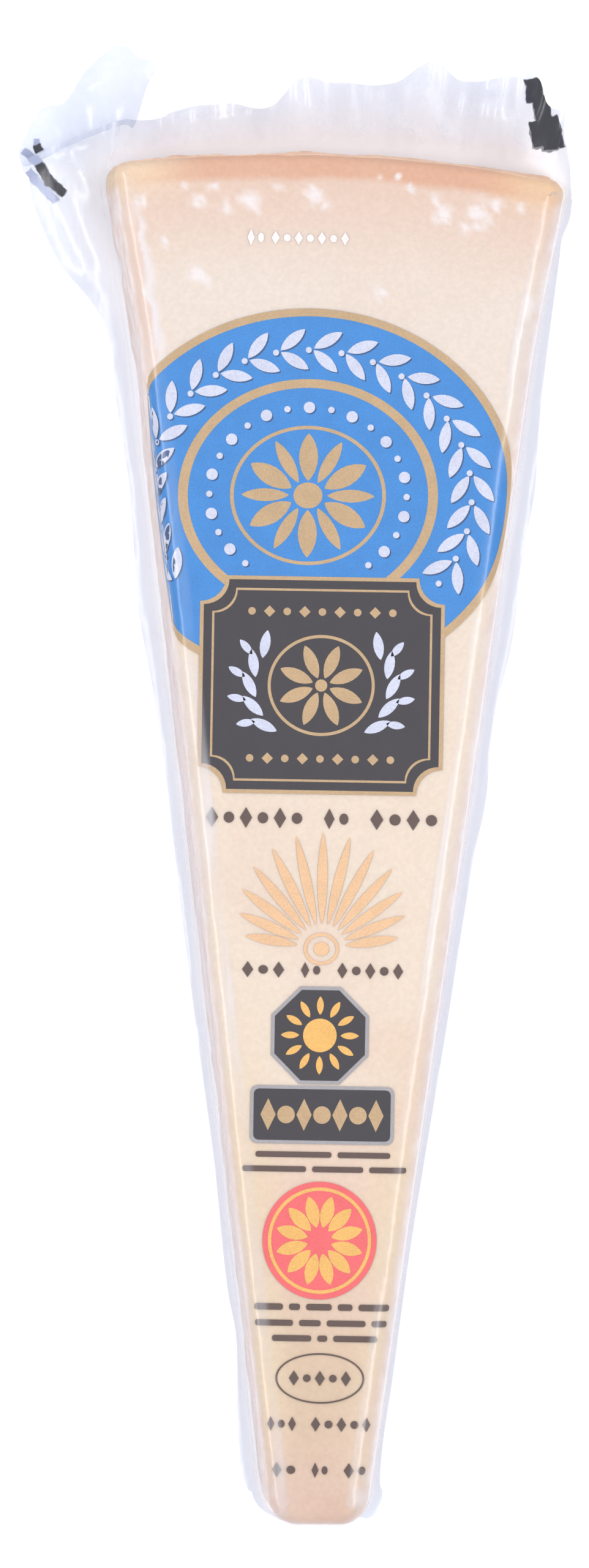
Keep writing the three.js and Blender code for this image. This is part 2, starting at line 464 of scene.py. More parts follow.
def speckle(tree, place, scale, detail=3.0, stretch=(1, 1, 1)):
    """Noise from 0 to 1 with a scale in cycles per millimetre."""
    mapping = add_node(tree, "ShaderNodeMapping", {"Vector": place, "Scale": stretch})
    node = add_node(
        tree, "ShaderNodeTexNoise",
        {"Vector": mapping.outputs["Vector"], "Scale": scale, "Detail": detail},
    )
    return node.outputs["Fac"]


def colour_ramp(tree, value, stops):
    """Colours along a value from 0 to 1, with stops given as (place, colour)."""
    node = add_node(tree, "ShaderNodeValToRGB", {"Fac": value})
    ramp = node.color_ramp
    ramp.interpolation = "EASE"
    while len(ramp.elements) < len(stops):
        ramp.elements.new(1)
    for element, (place, colour) in zip(ramp.elements, stops):
        element.position = place
        element.color = (*colour, 1)
    return node.outputs["Color"]


def bump(tree, height, distance, strength=1.0):
    node = add_node(
        tree, "ShaderNodeBump", {"Height": height, "Distance": distance * MM, "Strength": strength}
    )
    return node.outputs["Normal"]


def colour_property(name, description, default):
    return FloatVectorProperty(
        name=name, description=description, default=default, subtype="COLOR", min=0, max=1
    )


def share_property(name, description, default):
    return FloatProperty(
        name=name, description=description, default=default, min=0, max=1, subtype="FACTOR"
    )


def length_property(name, description, default):
    """Length property, with its default in millimetres."""
    return FloatProperty(
        name=name, description=description, default=default * MM, min=0, unit="LENGTH"
    )


# Cheese

CRYSTALS = (
    (-18.4, 75.7, 1.0), (-12.0, 75.8, 1.6), (-3.5, 76.7, 1.4), (13.6, 74.6, 1.3), (18.0, 74.7, 2.0),
    (23.6, 75.7, 0.7), (26.9, 76.0, 0.6), (5.1, 79.3, 0.5), (-18.7, 66.5, 1.3), (5.4, 64.2, 0.9),
    (25.0, 62.8, 1.0), (7.5, 79.5, 0.6), (-22.9, 70.3, 0.6), (12.3, 76.5, 0.8), (16.2, 72.9, 0.9),
    (-16.8, 77.7, 0.7), (-20.5, 78.0, 0.4), (-26.0, 75.5, 1.1), (9.0, 78.0, 0.6), (-8.0, 77.6, 0.5),
    (-14.9, 75.0, 0.9), (-1.9, 75.6, 0.8), (20.3, 75.9, 0.9), (-17.3, 65.6, 0.8),
)
FACE_GRID = 0.8
FACE_REACH = ((-30, 30), (-95, 86))
CHEESE_FINENESS = 0.75
WALL_ROWS = 26


class WedgeCheeseSettings(bpy.types.PropertyGroup):
    paste: colour_property("Paste", "Colour of the cheese's inside", (0.585, 0.495, 0.405))
    paste_pale: colour_property("Pale paste", "Paste a little below the rind", (0.575, 0.50, 0.435))
    paste_warm: colour_property("Warm paste", "Paste in the narrow half", (0.565, 0.43, 0.335))
    paste_nose: colour_property("Nose paste", "Paste at the wedge's narrow end", (0.49, 0.37, 0.265))
    paste_tip: colour_property("Tip", "Pinkish paste at the very tip", (0.48, 0.335, 0.265))
    blush: colour_property("Blush", "Pinkish clouds in the paste", (0.555, 0.415, 0.335))
    cream: colour_property("Cream", "Paste towards the long edges", (0.56, 0.455, 0.325))
    rind_cut: colour_property("Cut rind", "Rind where it shows on the cut face", (0.525, 0.31, 0.213))
    # The rind skin is painted lighter than the rind's own tan, as painted light for the rind wall, which
    # lies in the shade of the tail film
    rind_skin: colour_property("Rind skin", "Outer surface of the rind", (0.98, 0.68, 0.48))
    rind_left: colour_property("Left end", "Rind where it meets the left side", (0.62, 0.49, 0.35))
    rind_right: colour_property("Right end", "Rind where it meets the right side", (0.60, 0.42, 0.26))
    # Side colours: the crumbly sides' own colour, painted lighter as light for the steep sides and the
    # rounded upper edge
    wall: colour_property("Side", "Crumbly cut sides", (0.63, 0.505, 0.455))
    wall_pale: colour_property("Pale side", "Smoother parts of the sides", (0.70, 0.63, 0.605))
    # The crystal colour also paints the whitish border inside the left edge, which is partly a painted
    # highlight
    crystal: colour_property("Crystals", "White crystals near the rind", (0.62, 0.575, 0.56))
    rind_depth: length_property("Rind depth", "Thickness of the darker rind on the face", 3.0)
    crumble: length_property("Crumble", "Depth of the broken relief on the sides", 0.55)
    film_gap: length_property("Gap to film", "How far the cheese lies inside the film", 0.16)


def cheese_material(settings):
    material, tree = new_material("hard cheese")
    place = place_in_mm(tree)
    split = add_node(tree, "ShaderNodeSeparateXYZ", {0: place})
    x, y, z = (split.outputs[axis] for axis in "XYZ")

    # Depth below the rind's arc, wandering a little
    from_centre = vector_node(tree, "SUBTRACT", place, (*RIND_CENTRE, 0))
    radius = vector_node(tree, "LENGTH", vector_node(tree, "MULTIPLY", from_centre, (1, 1, 0)))
    depth = math_node(tree, "SUBTRACT", RIND_RADIUS + 0.5, radius)
    depth = math_node(tree, "SUBTRACT", depth, speckle(tree, place, 0.12))

    rind = settings.rind_depth / MM
    paste = colour_ramp(
        tree, math_node(tree, "DIVIDE", depth, 180.0),
        (
            (0.12, settings.paste_pale), (0.45, settings.paste), (0.66, settings.paste),
            (0.76, settings.paste_warm), (0.92, settings.paste_nose), (0.98, settings.paste_tip),
        ),
    )

    # Cream towards the long edges of the narrow half
    half = math_node(tree, "MULTIPLY_ADD", y, SPREAD, NOSE_HALF_WIDTH - SPREAD * NOSE_Y)
    across = math_node(tree, "DIVIDE", math_node(tree, "ABSOLUTE", x), half)
    across = plus(tree, across, times(tree, speckle(tree, place, 0.14), 0.3))
    creamy = stretched(tree, across, 0.45, 1.0, 0.0, 0.8)
    creamy = times(tree, creamy, stretched(tree, depth, 100.0, 140.0))
    creamy = times(tree, creamy, stretched(tree, depth, 166.0, 178.0, 1.0, 0.0))
    paste = mixed(tree, creamy, paste, settings.cream)

    under_rind = stretched(tree, depth, rind, rind + 15, 0.42, 0.0)
    paste = mixed(tree, under_rind, paste, settings.rind_cut)
    cut = stretched(tree, depth, rind - 0.5, rind + 0.9, 1.0, 0.0)
    colour = mixed(tree, cut, paste, settings.rind_cut)
    for side, tint in ((-1, settings.rind_left), (1, settings.rind_right)):
        end = stretched(tree, times(tree, x, side), 17.0, 27.0)
        end = times(tree, end, stretched(tree, depth, 1.0, 7.0, 0.85, 0.0))
        colour = mixed(tree, end, colour, tint)

    # Soft pink and cream clouds, and a fine grain
    cloud = stretched(tree, speckle(tree, place, 0.07, 3.0), 0.42, 0.65)
    amount = stretched(tree, depth, 60.0, 130.0, 0.14, 0.5)
    colour = mixed(tree, times(tree, cloud, amount), colour, settings.blush)
    grain = stretched(tree, speckle(tree, place, 1.6, 4.0), 0.3, 0.75, 0.965, 1.03)
    colour = shaded(tree, colour, grain)

    # Crumbly strip inside the left edge below the rind, with a whitish border of pale crumbs and a painted
    # highlight of the film's reflection along that edge
    flare = stretched(tree, y, FLARE_START_Y, FLARE_END_Y, 0.0, FLARE)
    inset = plus(tree, plus(tree, x, half), flare)
    ragged = math_node(tree, "MULTIPLY_ADD", speckle(tree, place, 0.35, 4.0), 2.6, -1.3)
    inset = plus(tree, inset, ragged)
    near = times(tree, stretched(tree, depth, 5.0, 9.0), stretched(tree, y, 48.0, 60.0))
    border = stretched(tree, inset, 2.2, 3.4, 0.85, 0.0)
    colour = mixed(tree, times(tree, border, near), colour, settings.crystal)
    strip = stretched(tree, inset, 1.5, 2.2, 0.9, 0.0)
    colour = mixed(tree, times(tree, strip, near), colour, settings.blush)

    # Rind skin on the curved end, crumbly colour on the sides and the rounded upper edge; the side colours
    # are painted lighter than the paste, as painted light for the steep sides and the tilted rounding
    # Rind skin colour: partly the rind's own tan, partly painted light that makes up for the shade on the
    # rind wall
    outside = stretched(tree, depth, -0.2, 0.25, 1.0, 0.0)
    skin = mixed(tree, speckle(tree, place, 0.5), settings.rind_skin, settings.rind_cut)
    low = stretched(tree, z, THICKNESS - 2.4, THICKNESS - 0.5, 1.0, 0.0)
    low = times(tree, low, stretched(tree, depth, rind - 1, rind + 1))
    crumbs = stretched(tree, speckle(tree, place, 0.35, 6.0), 0.35, 0.7)
    side = mixed(tree, crumbs, settings.wall, settings.wall_pale)
    colour = mixed(tree, low, colour, side)
    colour = mixed(tree, outside, colour, skin)

    # Crystals
    spots = attribute(tree, "crystals")
    broken = stretched(tree, speckle(tree, place, 0.9, 4.0), 0.22, 0.5, 0.25, 1.0)
    colour = mixed(tree, times(tree, spots, broken), colour, settings.crystal)

    relief = plus(tree, speckle(tree, place, 0.9, 6.0), speckle(tree, place, 3.2, 3.0))
    shader = add_node(
        tree, "ShaderNodeBsdfPrincipled",
        {
            "Base Color": colour, "Roughness": 0.5, "Normal": bump(tree, relief, 0.045),
            "Subsurface Weight": 0.22, "Subsurface Scale": 2.5 * MM,
            "Subsurface Radius": (1.0, 0.6, 0.35), "Specular IOR Level": 0.0,
        },
    )
    to_surface(tree, shader)
    return material


def cheese_rings(settings):
    """Rings of the cheese from the face's border down its crumbly sides to the underside."""
    gap = settings.film_gap / MM
    depth = settings.crumble / MM
    columns = []
    for station in contour(CHEESE_FINENESS):
        levels = list(face_levels(station, THICKNESS - 2 * gap, 6))
        wall_top, wall_foot = levels[-1][1] - 0.3, FOOT_RADIUS + gap
        for i in range(WALL_ROWS):
            z = lerp(wall_top, wall_foot, i / WALL_ROWS)
            levels.append((wall_reach(station, z), z))
        levels.extend(foot_levels(station, gap, 5))
        rough = lerp(0.45, 1, smoothstep(station.y, 30, 75))
        rough *= lerp(1, 0.6, smoothstep(station.x, -10, 10))
        points = []
        for reach, z in levels:
            steep = smoothstep(wall_top - z, -0.2, 2.5)
            spot = Vector((station.x, station.y, z))
            broken = noise.fractal(spot * 0.33, 0.7, 2.2, 5)
            chips = max(noise.fractal(spot * 0.12 + Vector((9, 4, 2)), 0.8, 2.0, 3), 0)
            bite = depth * rough * steep * (0.5 + 0.5 * broken + 0.9 * chips)
            at = place_at(station, reach - gap - max(bite, 0))
            points.append(Vector((at.x, at.y, z)))
        columns.append(points)
    return [list(ring) for ring in zip(*columns)]


def paint_crystals(bm):
    """Writes how much of each vertex lies in a white crystal."""
    layer = bm.verts.layers.float.new("crystals")
    for vert in bm.verts:
        if vert.co.z < THICKNESS - 2:
            continue
        wobble = 0.55 * noise.noise(vert.co * 0.9) + 0.4 * noise.noise(vert.co * 2.3)
        vert[layer] = max(
            (1 - smoothstep(math.hypot(vert.co.x - x, vert.co.y - y) / size + wobble, 0.35, 1.15))
            for x, y, size in CRYSTALS
        )


def cut_across(bm, geometry, axis, place):
    """Cuts a mesh along one line of a grid, and returns its faces."""
    co, no = Vector((0, 0, 0)), Vector((0, 0, 0))
    co[axis], no[axis] = place, 1
    cut = bmesh.ops.bisect_plane(bm, geom=geometry, plane_co=co, plane_no=no)
    return [part for part in cut["geom"] if isinstance(part, bmesh.types.BMFace)]


def cut_face_grid(bm, step):
    """Cuts the flat face into a fine grid for the crystals."""
    faces = [max(bm.faces, key=lambda f: (f.calc_center_median().z > THICKNESS / 2) * f.calc_area())]
    for axis, (low, high) in enumerate(FACE_REACH):
        for i in range(int((high - low) / step)):
            parts = (part for face in faces for part in (face, *face.verts, *face.edges))
            faces = cut_across(bm, list(dict.fromkeys(parts)), axis, low + i * step)


class WEDGE_OT_cheese(bpy.types.Operator):
    """Builds the wedge of cheese with its rind, crumbly sides and crystals"""

    bl_idname = "wedge.cheese"
    bl_label = "Cheese"

    def execute(self, context):
        settings = context.scene.wedge_cheese
        bm = bmesh.new()
        rolled_skin(bm, cheese_rings(settings))
        cut_face_grid(bm, FACE_GRID)
        paint_crystals(bm)
        finished("cheese", bm, cheese_material(settings), "cheese_paste")
        return {"FINISHED"}


# Film


class WedgeFilmSettings(bpy.types.PropertyGroup):
    milk: colour_property("Milkiness", "Colour of the slack film", (0.76, 0.80, 0.89))
    bloom: colour_property(
        "Bloom", "Colour of the film where it is milky on the cheese", (0.78, 0.775, 0.83)
    )
    tint: colour_property("Tint", "Light that passes the film on the cheese", (0.97, 0.97, 0.985))
    slack_tint: colour_property("Slack tint", "Light that passes a slack sheet", (0.835, 0.853, 0.90))
    mark_dark: colour_property("Dark mark", "Dark printed bars at the tail's ends", (0.03, 0.03, 0.04))
    mark_blue: colour_property("Blue mark", "Blue printed bars at the tail's left end", (0.28, 0.31, 0.45))
    wall_haze: share_property("Haze on the sides", "How milky the film is on the cheese's sides", 0.5)
    # The soft bands inside the long edges are partly milky film and partly a painted highlight of the
    # film's reflection over the rounded edges
    edge_haze_and_highlight: share_property(
        "Haze on the edges", "How milky the soft bands inside the long edges are", 0.8
    )
    fin_haze: share_property("Haze of the fins", "How milky each sheet of the fins and tail is", 0.36)
    crest_haze: share_property("Haze on folds", "Extra milkiness along the raised folds", 0.3)
    pleat: length_property("Pleats", "Height of the tail's pleats", 0.6)
    sheet: length_property("Fin thickness", "Thickness of the fins and the ear at their edge", 0.35)


# Middle of the medallion, and its reach to each side and up and down
MEDALLION = (-3.55, 37.6)
MEDALLION_RIM = (27.4, 24.4)

# Printed bars on the slack film: (centre), (size), turn in degrees
DARK_MARKS = (
    ((25.3, 91.7), (2.3, 3.2), 6), ((26.4, 89.0), (2.2, 3.8), 14), ((27.6, 86.0), (3.0, 4.4), 14),
    ((25.7, 85.8), (1.5, 3.6), 10), ((-38.9, 79.7), (1.3, 2.8), 32),
    ((-37.3, 77.9), (1.3, 2.8), 52), ((-39.8, 83.0), (1.1, 1.2), 20),
)
BLUE_MARKS = (
    ((-39.2, 77.95), (1.2, 5.6), 44), ((-40.5, 81.6), (1.1, 3.4), 50), ((-40.05, 83.8), (0.9, 1.2), 10),
)
FILM_FINENESS = 1.4
FACE_ROWS = 8
UPRIGHT_ROWS = 8
UPPER_ROWS = 18
LOWER_ROWS = 14
FOOT_ROWS = 4

# Share of a fin's reach in which the film still follows the cheese
HELD = 0.3
MARK_WANDER = 0.8
MARK_SOFTNESS = 0.12

# Milky patches where the film is pinched on the face: (centre), radius and haze
PATCHES = (
    ((-6.6, -92.6), 1.5, 0.4), ((5.7, -93.2), 1.6, 0.5), ((-4.9, -95.4), 1.1, 0.3),
    ((6.3, -90.6), 0.9, 0.35),
)

# Raised folds in the slack film: start, end, rise and width
FOLDS = (
    ((-29.7, 87.5), (-30.9, 74.8), 1.1, 0.7), ((-41.5, 81.0), (-30.0, 87.2), 0.4, 0.9),
    ((-36.0, 82.5), (-31.5, 77.0), -0.6, 1.4), ((-37.5, 76.0), (-33.5, 68.0), 0.5, 1.2),
    ((-21.0, 87.5), (-10.0, 90.0), 0.5, 0.9), ((4.5, 92.5), (10.5, 93.8), -0.8, 0.8),
    ((17.5, 92.8), (20.5, 91.6), -0.7, 0.7), ((7.0, 89.0), (10.0, 85.5), 0.8, 1.3),
    ((11.5, 92.0), (14.0, 86.0), 0.9, 1.4), ((15.5, 90.5), (20.0, 89.5), 0.7, 1.1),
    ((21.5, 90.0), (24.5, 84.0), 0.6, 1.2), ((-4.5, 92.0), (-2.0, 86.5), 0.7, 1.2),
    ((1.5, 92.5), (2.5, 86.5), 0.6, 1.1),
)


def boxed(tree, place, centre, size, turn):
    """Mask that is 1 inside a turned box on the plan, and 0 outside."""
    mapping = add_node(
        tree, "ShaderNodeMapping",
        {"Vector": place, "Location": (*centre, 0), "Rotation": (0, 0, math.radians(turn))},
        vector_type="TEXTURE",
    )
    split = add_node(tree, "ShaderNodeSeparateXYZ", {0: mapping.outputs["Vector"]})
    masks = []
    for axis, length in zip("XY", size):
        distance = math_node(tree, "ABSOLUTE", split.outputs[axis])
        inner, outer = length / 2 - MARK_SOFTNESS, length / 2 + MARK_SOFTNESS
        masks.append(stretched(tree, distance, inner, outer, 1.0, 0.0))
    return times(tree, *masks)


def film_material(settings):
    material, tree = new_material("shrink film")
    place = place_in_mm(tree)
    haze, slackness = attribute(tree, "haze"), attribute(tree, "slack")
    on_cheese = math_node(tree, "SUBTRACT", 1.0, slackness)
    streaks = stretched(tree, speckle(tree, place, 0.9, 1.5, (0.6, 0.025, 0.3)), 0.3, 0.7, 0.55, 1.3)
    streaks = math_node(tree, "MULTIPLY_ADD", math_node(tree, "SUBTRACT", streaks, 1.0), on_cheese, 1.0)
    cloud = stretched(tree, speckle(tree, place, 0.16, 3.0), 0.25, 0.75, 0.85, 1.12)
    haze = times(tree, haze, times(tree, streaks, cloud), clamp=True)

    # Printed bars at the ends of the tail
    dark, blue = 0.0, 0.0
    wander = add_node(tree, "ShaderNodeTexNoise", {"Vector": place, "Scale": 0.8, "Detail": 1.0})
    wander = vector_node(
        tree, "MULTIPLY_ADD", wander.outputs["Color"], (MARK_WANDER,) * 3, (-MARK_WANDER / 2,) * 3
    )
    wandering = vector_node(tree, "ADD", place, wander)
    for box in DARK_MARKS:
        dark = math_node(tree, "MAXIMUM", boxed(tree, wandering, *box), dark)
    for box in BLUE_MARKS:
        blue = math_node(tree, "MAXIMUM", boxed(tree, wandering, *box), blue)
    ink = math_node(tree, "MAXIMUM", dark, blue)
    bloom = stretched(tree, slackness, 0.0, 0.3, 1.0, 0.0)
    milk = mixed(tree, bloom, settings.milk, settings.bloom)
    milk = mixed(tree, dark, mixed(tree, blue, milk, settings.mark_blue), settings.mark_dark)
    haze = math_node(tree, "MAXIMUM", haze, times(tree, ink, 0.93))

    ripples = speckle(tree, place, 0.22, 3.0, (1, 0.45, 1))
    normal = bump(tree, ripples, 0.25)
    slack = add_node(
        tree, "ShaderNodeMixShader",
        {
            0: math_node(tree, "MULTIPLY_ADD", ink, -0.4, 0.45),
            1: add_node(tree, "ShaderNodeBsdfDiffuse", {"Color": milk, "Normal": normal}).outputs[0],
            2: add_node(tree, "ShaderNodeBsdfTranslucent", {"Color": milk, "Normal": normal}).outputs[0],
        },
    )
    passing = mixed(tree, on_cheese, settings.slack_tint, settings.tint)
    clear = add_node(tree, "ShaderNodeBsdfTransparent", {"Color": passing})
    body = add_node(
        tree, "ShaderNodeMixShader", {0: haze, 1: clear.outputs[0], 2: slack.outputs[0]}
    )
    gloss = add_node(tree, "ShaderNodeBsdfGlossy", {"Roughness": 0.26, "Normal": normal})
    facing = add_node(tree, "ShaderNodeLayerWeight", {"Blend": 0.5, "Normal": normal}).outputs["Facing"]
    share = math_node(tree, "MULTIPLY_ADD", math_node(tree, "POWER", facing, 5.0), 0.09, 0.04)
    shader = add_node(
        tree, "ShaderNodeMixShader", {0: share, 1: body.outputs[0], 2: gloss.outputs[0]}
    )
    to_surface(tree, shader)
    return material


def clear_over_print(spot):
    """Share of the haze that is left over the medallion, where the film is smooth."""
    away = math.hypot(*((spot[i] - MEDALLION[i]) / MEDALLION_RIM[i] for i in (0, 1)))
    return lerp(0.08, 1, smoothstep(away, 1.0, 1.1))


def edge_milk_and_highlight(station, reach, settings):
    """Milkiness of the soft bands that run just inside the long edges of the face, and a painted
    highlight: the bands also stand for the film's reflection over the rounded edges.
    """
    if abs(station.out.x) < 0.7:
        return 0
    along = Vector((station.y * 0.05, station.x * 0.05, 7))
    strong = lerp(0.4, 1, smoothstep(noise.noise(along), -0.3, 0.25))
    strong *= lerp(0.3, 1, smoothstep(-station.y, -78, -60))
    strong *= lerp(0.4, 1, smoothstep(station.y, -35, -10))
    strong *= smoothstep(reach, -SHOULDER_WIDTH, 0.8 - SHOULDER_WIDTH)
    middle = -station.edge - 0.5 - 0.6 * noise.noise(along * 2.3)
    return settings.edge_haze_and_highlight * strong * math.exp(-(((reach - middle) / 1.25) ** 2))


def film_column(station, settings):
    """Levels of one upright cut through the film, as (reach, z, haze, slack)."""
    wall_haze = settings.wall_haze * lerp(1, 0.02, station.wild)
    if station.x < 0:
        wall_haze *= lerp(1, 0.5, smoothstep(station.y, 0, 40))
    fin_haze = settings.fin_haze * lerp(0.6, 1.1, smoothstep(station.y, 80, 88))
    levels = []
    for reach, z in face_levels(station, THICKNESS, FACE_ROWS):
        turning = wall_haze * smoothstep(reach, -station.edge * 0.6, station.edge * 0.2)
        clear = clear_over_print(place_at(station, reach))
        # The edge bands add milkiness and a painted highlight just inside the long edges
        levels.append((reach, z, clear * (turning + edge_milk_and_highlight(station, reach, settings)), 0))
    half_sheet = settings.sheet / MM / 2
    leave_z = station.fin_z + station.hollow
    wall_top = THICKNESS - shoulder(station.edge) - station.edge
    for i in range(UPRIGHT_ROWS):
        z = lerp(wall_top, leave_z, i / UPRIGHT_ROWS)
        levels.append((wall_reach(station, z), z, wall_haze * lerp(0.7, 1, i / UPRIGHT_ROWS), 0))
    start = wall_reach(station, leave_z)
    tip = max(station.reach, station.lean + LEAST_FIN)
    span = tip - start
    upper = (
        (start, leave_z), (start + FALL_REACH * span, station.fin_z + FALL_HOLLOW * station.hollow),
        (start + FLAT_REACH * span, station.fin_z + FLAT_GAP), (tip, station.fin_z + half_sheet),
    )
    for i in range(UPPER_ROWS + 1):
        reach, z = bezier(upper, i / UPPER_ROWS)
        slack = (reach - start) / span
        opening = smoothstep(slack, 0.1 * station.wild, HELD + 0.1 * station.wild)
        levels.append((reach, z, lerp(wall_haze, fin_haze, opening), slack))
    foot_z = max(station.fin_z - FOOT_HOLLOW * station.hollow, FOOT_RADIUS + 1)
    lower = (
        (tip, station.fin_z - half_sheet),
        (station.lean + FLAT_REACH * span, station.fin_z - FLAT_GAP),
        (station.lean, foot_z), (station.lean, FOOT_RADIUS + 0.8),
    )
    for i in range(LOWER_ROWS + 1):
        reach, z = bezier(lower, i / LOWER_ROWS)
        slack = max((reach - station.lean) / span, 0)
        levels.append((reach, z, lerp(wall_haze, fin_haze, smoothstep(slack, 0, 0.35)), slack))
    levels.extend((reach, z, wall_haze * 0.5, 0) for reach, z in foot_levels(station, 0, FOOT_ROWS))
    return levels


def patch_haze(spot, reach):
    """Milkiness of the pinched patches by the nose."""
    haze = max(top * math.exp(-(((spot - Vector(at)).length / size) ** 2)) for at, size, top in PATCHES)
    return haze * smoothstep(reach, -SHOULDER_WIDTH, 0.8 - SHOULDER_WIDTH)


def pleated(station, spot, slack, settings):
    """Rise of the slack film from pleats that run out from the cheese, and its folds' crests."""
    along = Vector((station.x * 0.2, spot.y * 0.16, slack * 0.8))
    wave = noise.noise(along + Vector((1.7, 5.1, 0)))
    crease = 1 - 2 * abs(noise.noise(Vector((spot.x * 0.4, spot.y * 0.2, 3.3))))
    height = wave * 1.5 + crease * 0.15 * smoothstep(slack, 0.25, 0.8)
    rise = settings.pleat / MM * station.wild * slack**1.2 * height
    crest = 0
    for start, end, top, width in FOLDS:
        start, end = Vector(start), Vector(end)
        share = (spot - start).dot(end - start) / (end - start).length_squared
        nearest = start.lerp(end, min(max(share, 0), 1))
        away = (spot - nearest).length / width
        if away < 3:
            rise += top * math.exp(-away * away) * smoothstep(slack, 0.02, 0.25)
            crest = max(crest, abs(top) * math.exp(-((away * 1.6) ** 2)))
    return rise, crest


def film_rings(settings):
    columns = []
    for station in contour(FILM_FINENESS):
        points = []
        for reach, z, haze, slack in film_column(station, settings):
            ripple = 0
            if slack < HELD:
                waves = noise.noise(Vector((station.y * 0.05, station.x * 0.05, z * 0.3)))
                hold = smoothstep(THICKNESS - station.edge - z, 0, 4) * smoothstep(z, FOOT_RADIUS, 6)
                ripple = 0.12 * (1 + waves) * hold * (1 - slack / HELD)
            at = place_at(station, reach + ripple)
            if slack > 0:
                rise, crest = pleated(station, at, slack, settings)
                z += rise
                haze += settings.crest_haze * crest
            if z > THICKNESS - 5:
                haze = max(haze, patch_haze(at, reach))
            slackness = smoothstep(slack, 0, lerp(HELD, 1, station.wild))
            slackness *= lerp(1, 0.85, smoothstep(at.y, 78, 84))
            points.append((Vector((at.x, at.y, z)), haze, slackness))
        columns.append(points)
    return [list(ring) for ring in zip(*columns)]


class WEDGE_OT_film(bpy.types.Operator):
    """Builds the shrink film with its fins, crimped tail and the loose ear"""

    bl_idname = "wedge.film"
    bl_label = "Film"

    def execute(self, context):
        settings = context.scene.wedge_film
        material = film_material(settings)
        rings = film_rings(settings)
        bm = bmesh.new()
        rolled_skin(bm, [[point for point, *_ in ring] for ring in rings])
        values = {point.to_tuple(3): rest for ring in rings for point, *rest in ring}
        self.write_layers(bm, lambda spot: values.get(spot.to_tuple(3), (0, 0)))
        finished("film", bm, material, "film")
        self.ear(settings, material)
        return {"FINISHED"}

    def write_layers(self, bm, values_at):
        """Writes how milky and how slack the film is at each vertex."""
        for index, name in enumerate(("haze", "slack")):
            layer = bm.verts.layers.float.new(name)
            for vert in bm.verts:
                vert[layer] = values_at(vert.co)[index]

    def ear(self, settings, material):
        """Loose ear of film behind the left corner."""
        bm = bmesh.new()
        outline = [bm.verts.new((x, y, EAR_Z)) for x, y in rounded_outline(EAR_OUTLINE, 6)]
        face = bm.faces.new(outline)
        cut_grid(bm, 0.5)
        bmesh.ops.triangulate(bm, faces=[f for f in bm.faces if len(f.verts) > 4])
        for vert in bm.verts:
            broad = noise.noise(vert.co * 0.15)
            crease = abs(noise.noise(vert.co * 0.4))
            vert.co.z += 1.6 * smoothstep(vert.co.y, 84, 90) * broad + 0.3 * crease
        thicken(bm, settings.sheet / MM)
        self.write_layers(bm, lambda spot: (settings.fin_haze, 1))
        finished("film_ear", bm, material, "film")


def rounded_outline(points, steps):
    """Smooth closed curve through a few points, Catmull-Rom."""
    count = len(points)
    for i in range(count):
        a, b, c, d = (Vector(points[(i + k) % count]) for k in (-1, 0, 1, 2))
        for step in range(steps):
            t = step / steps
            yield 0.5 * (
                2 * b + (c - a) * t + (2 * a - 5 * b + 4 * c - d) * t**2
                + (3 * b - a - 3 * c + d) * t**3
            )


def cut_grid(bm, step):
    """Cuts a flat mesh along a square grid so that it can bend."""
    for axis in (0, 1):
        values = [vert.co[axis] for vert in bm.verts]
        first = math.floor(min(values) / step) + 1
        last = math.ceil(max(values) / step)
        for i in range(first, last):
            cut_across(bm, [*bm.verts, *bm.edges, *bm.faces], axis, i * step)


def thicken(bm, thickness):
    """Gives an open sheet its thickness and closes its rim."""
    bmesh.ops.recalc_face_normals(bm, faces=bm.faces)
    bmesh.ops.solidify(bm, geom=bm.faces[:], thickness=thickness)
    bmesh.ops.recalc_face_normals(bm, faces=bm.faces)


# Print


class WedgePrintSettings(bpy.types.PropertyGroup):
    blue: colour_property("Blue", "Medallion", (0.02, 0.165, 0.44))
    gold: colour_property("Gold", "Rings and borders", (0.38, 0.255, 0.135))
    white: colour_property("White", "Leaves and bars", (0.44, 0.46, 0.56))
    pale: colour_property("Pale", "Row of marks under the rind", (0.66, 0.61, 0.59))
    black: colour_property("Black", "Plaque and plate", (0.018, 0.015, 0.020))
    brown: colour_property("Brown", "Small print", (0.07, 0.04, 0.032))
    red: colour_property("Red", "Seal", (0.61, 0.09, 0.094))
    amber: colour_property("Amber", "Seal's petals and the tile's sun", (0.60, 0.33, 0.08))
    silver: colour_property("Silver", "Rims of tile and plate", (0.26, 0.25, 0.26))
    faint: colour_property("Faint gold", "Pale palm leaf on the paste", (0.57, 0.36, 0.20))
    shade: colour_property("Leaf shade", "Shadow beside the white leaves", (0.012, 0.05, 0.14))
    layer: length_property("Layer", "Height from one layer of ink to the next", 0.02)


def ink_material(name, colour):
    material, tree = new_material(name)
    place = place_in_mm(tree)
    dots = stretched(tree, speckle(tree, place, 5.0, 2.0), 0.25, 0.8, 0.88, 1.1)
    broad = stretched(tree, speckle(tree, place, 0.3, 2.0), 0.3, 0.7, 0.96, 1.04)
    value = times(tree, dots, broad)
    tint = shaded(tree, (*colour, 1), value)
    shader = add_node(
        tree, "ShaderNodeBsdfPrincipled",
        {"Base Color": tint, "Roughness": 0.45, "Specular IOR Level": 0.3},
    )
    to_surface(tree, shader)
    return material


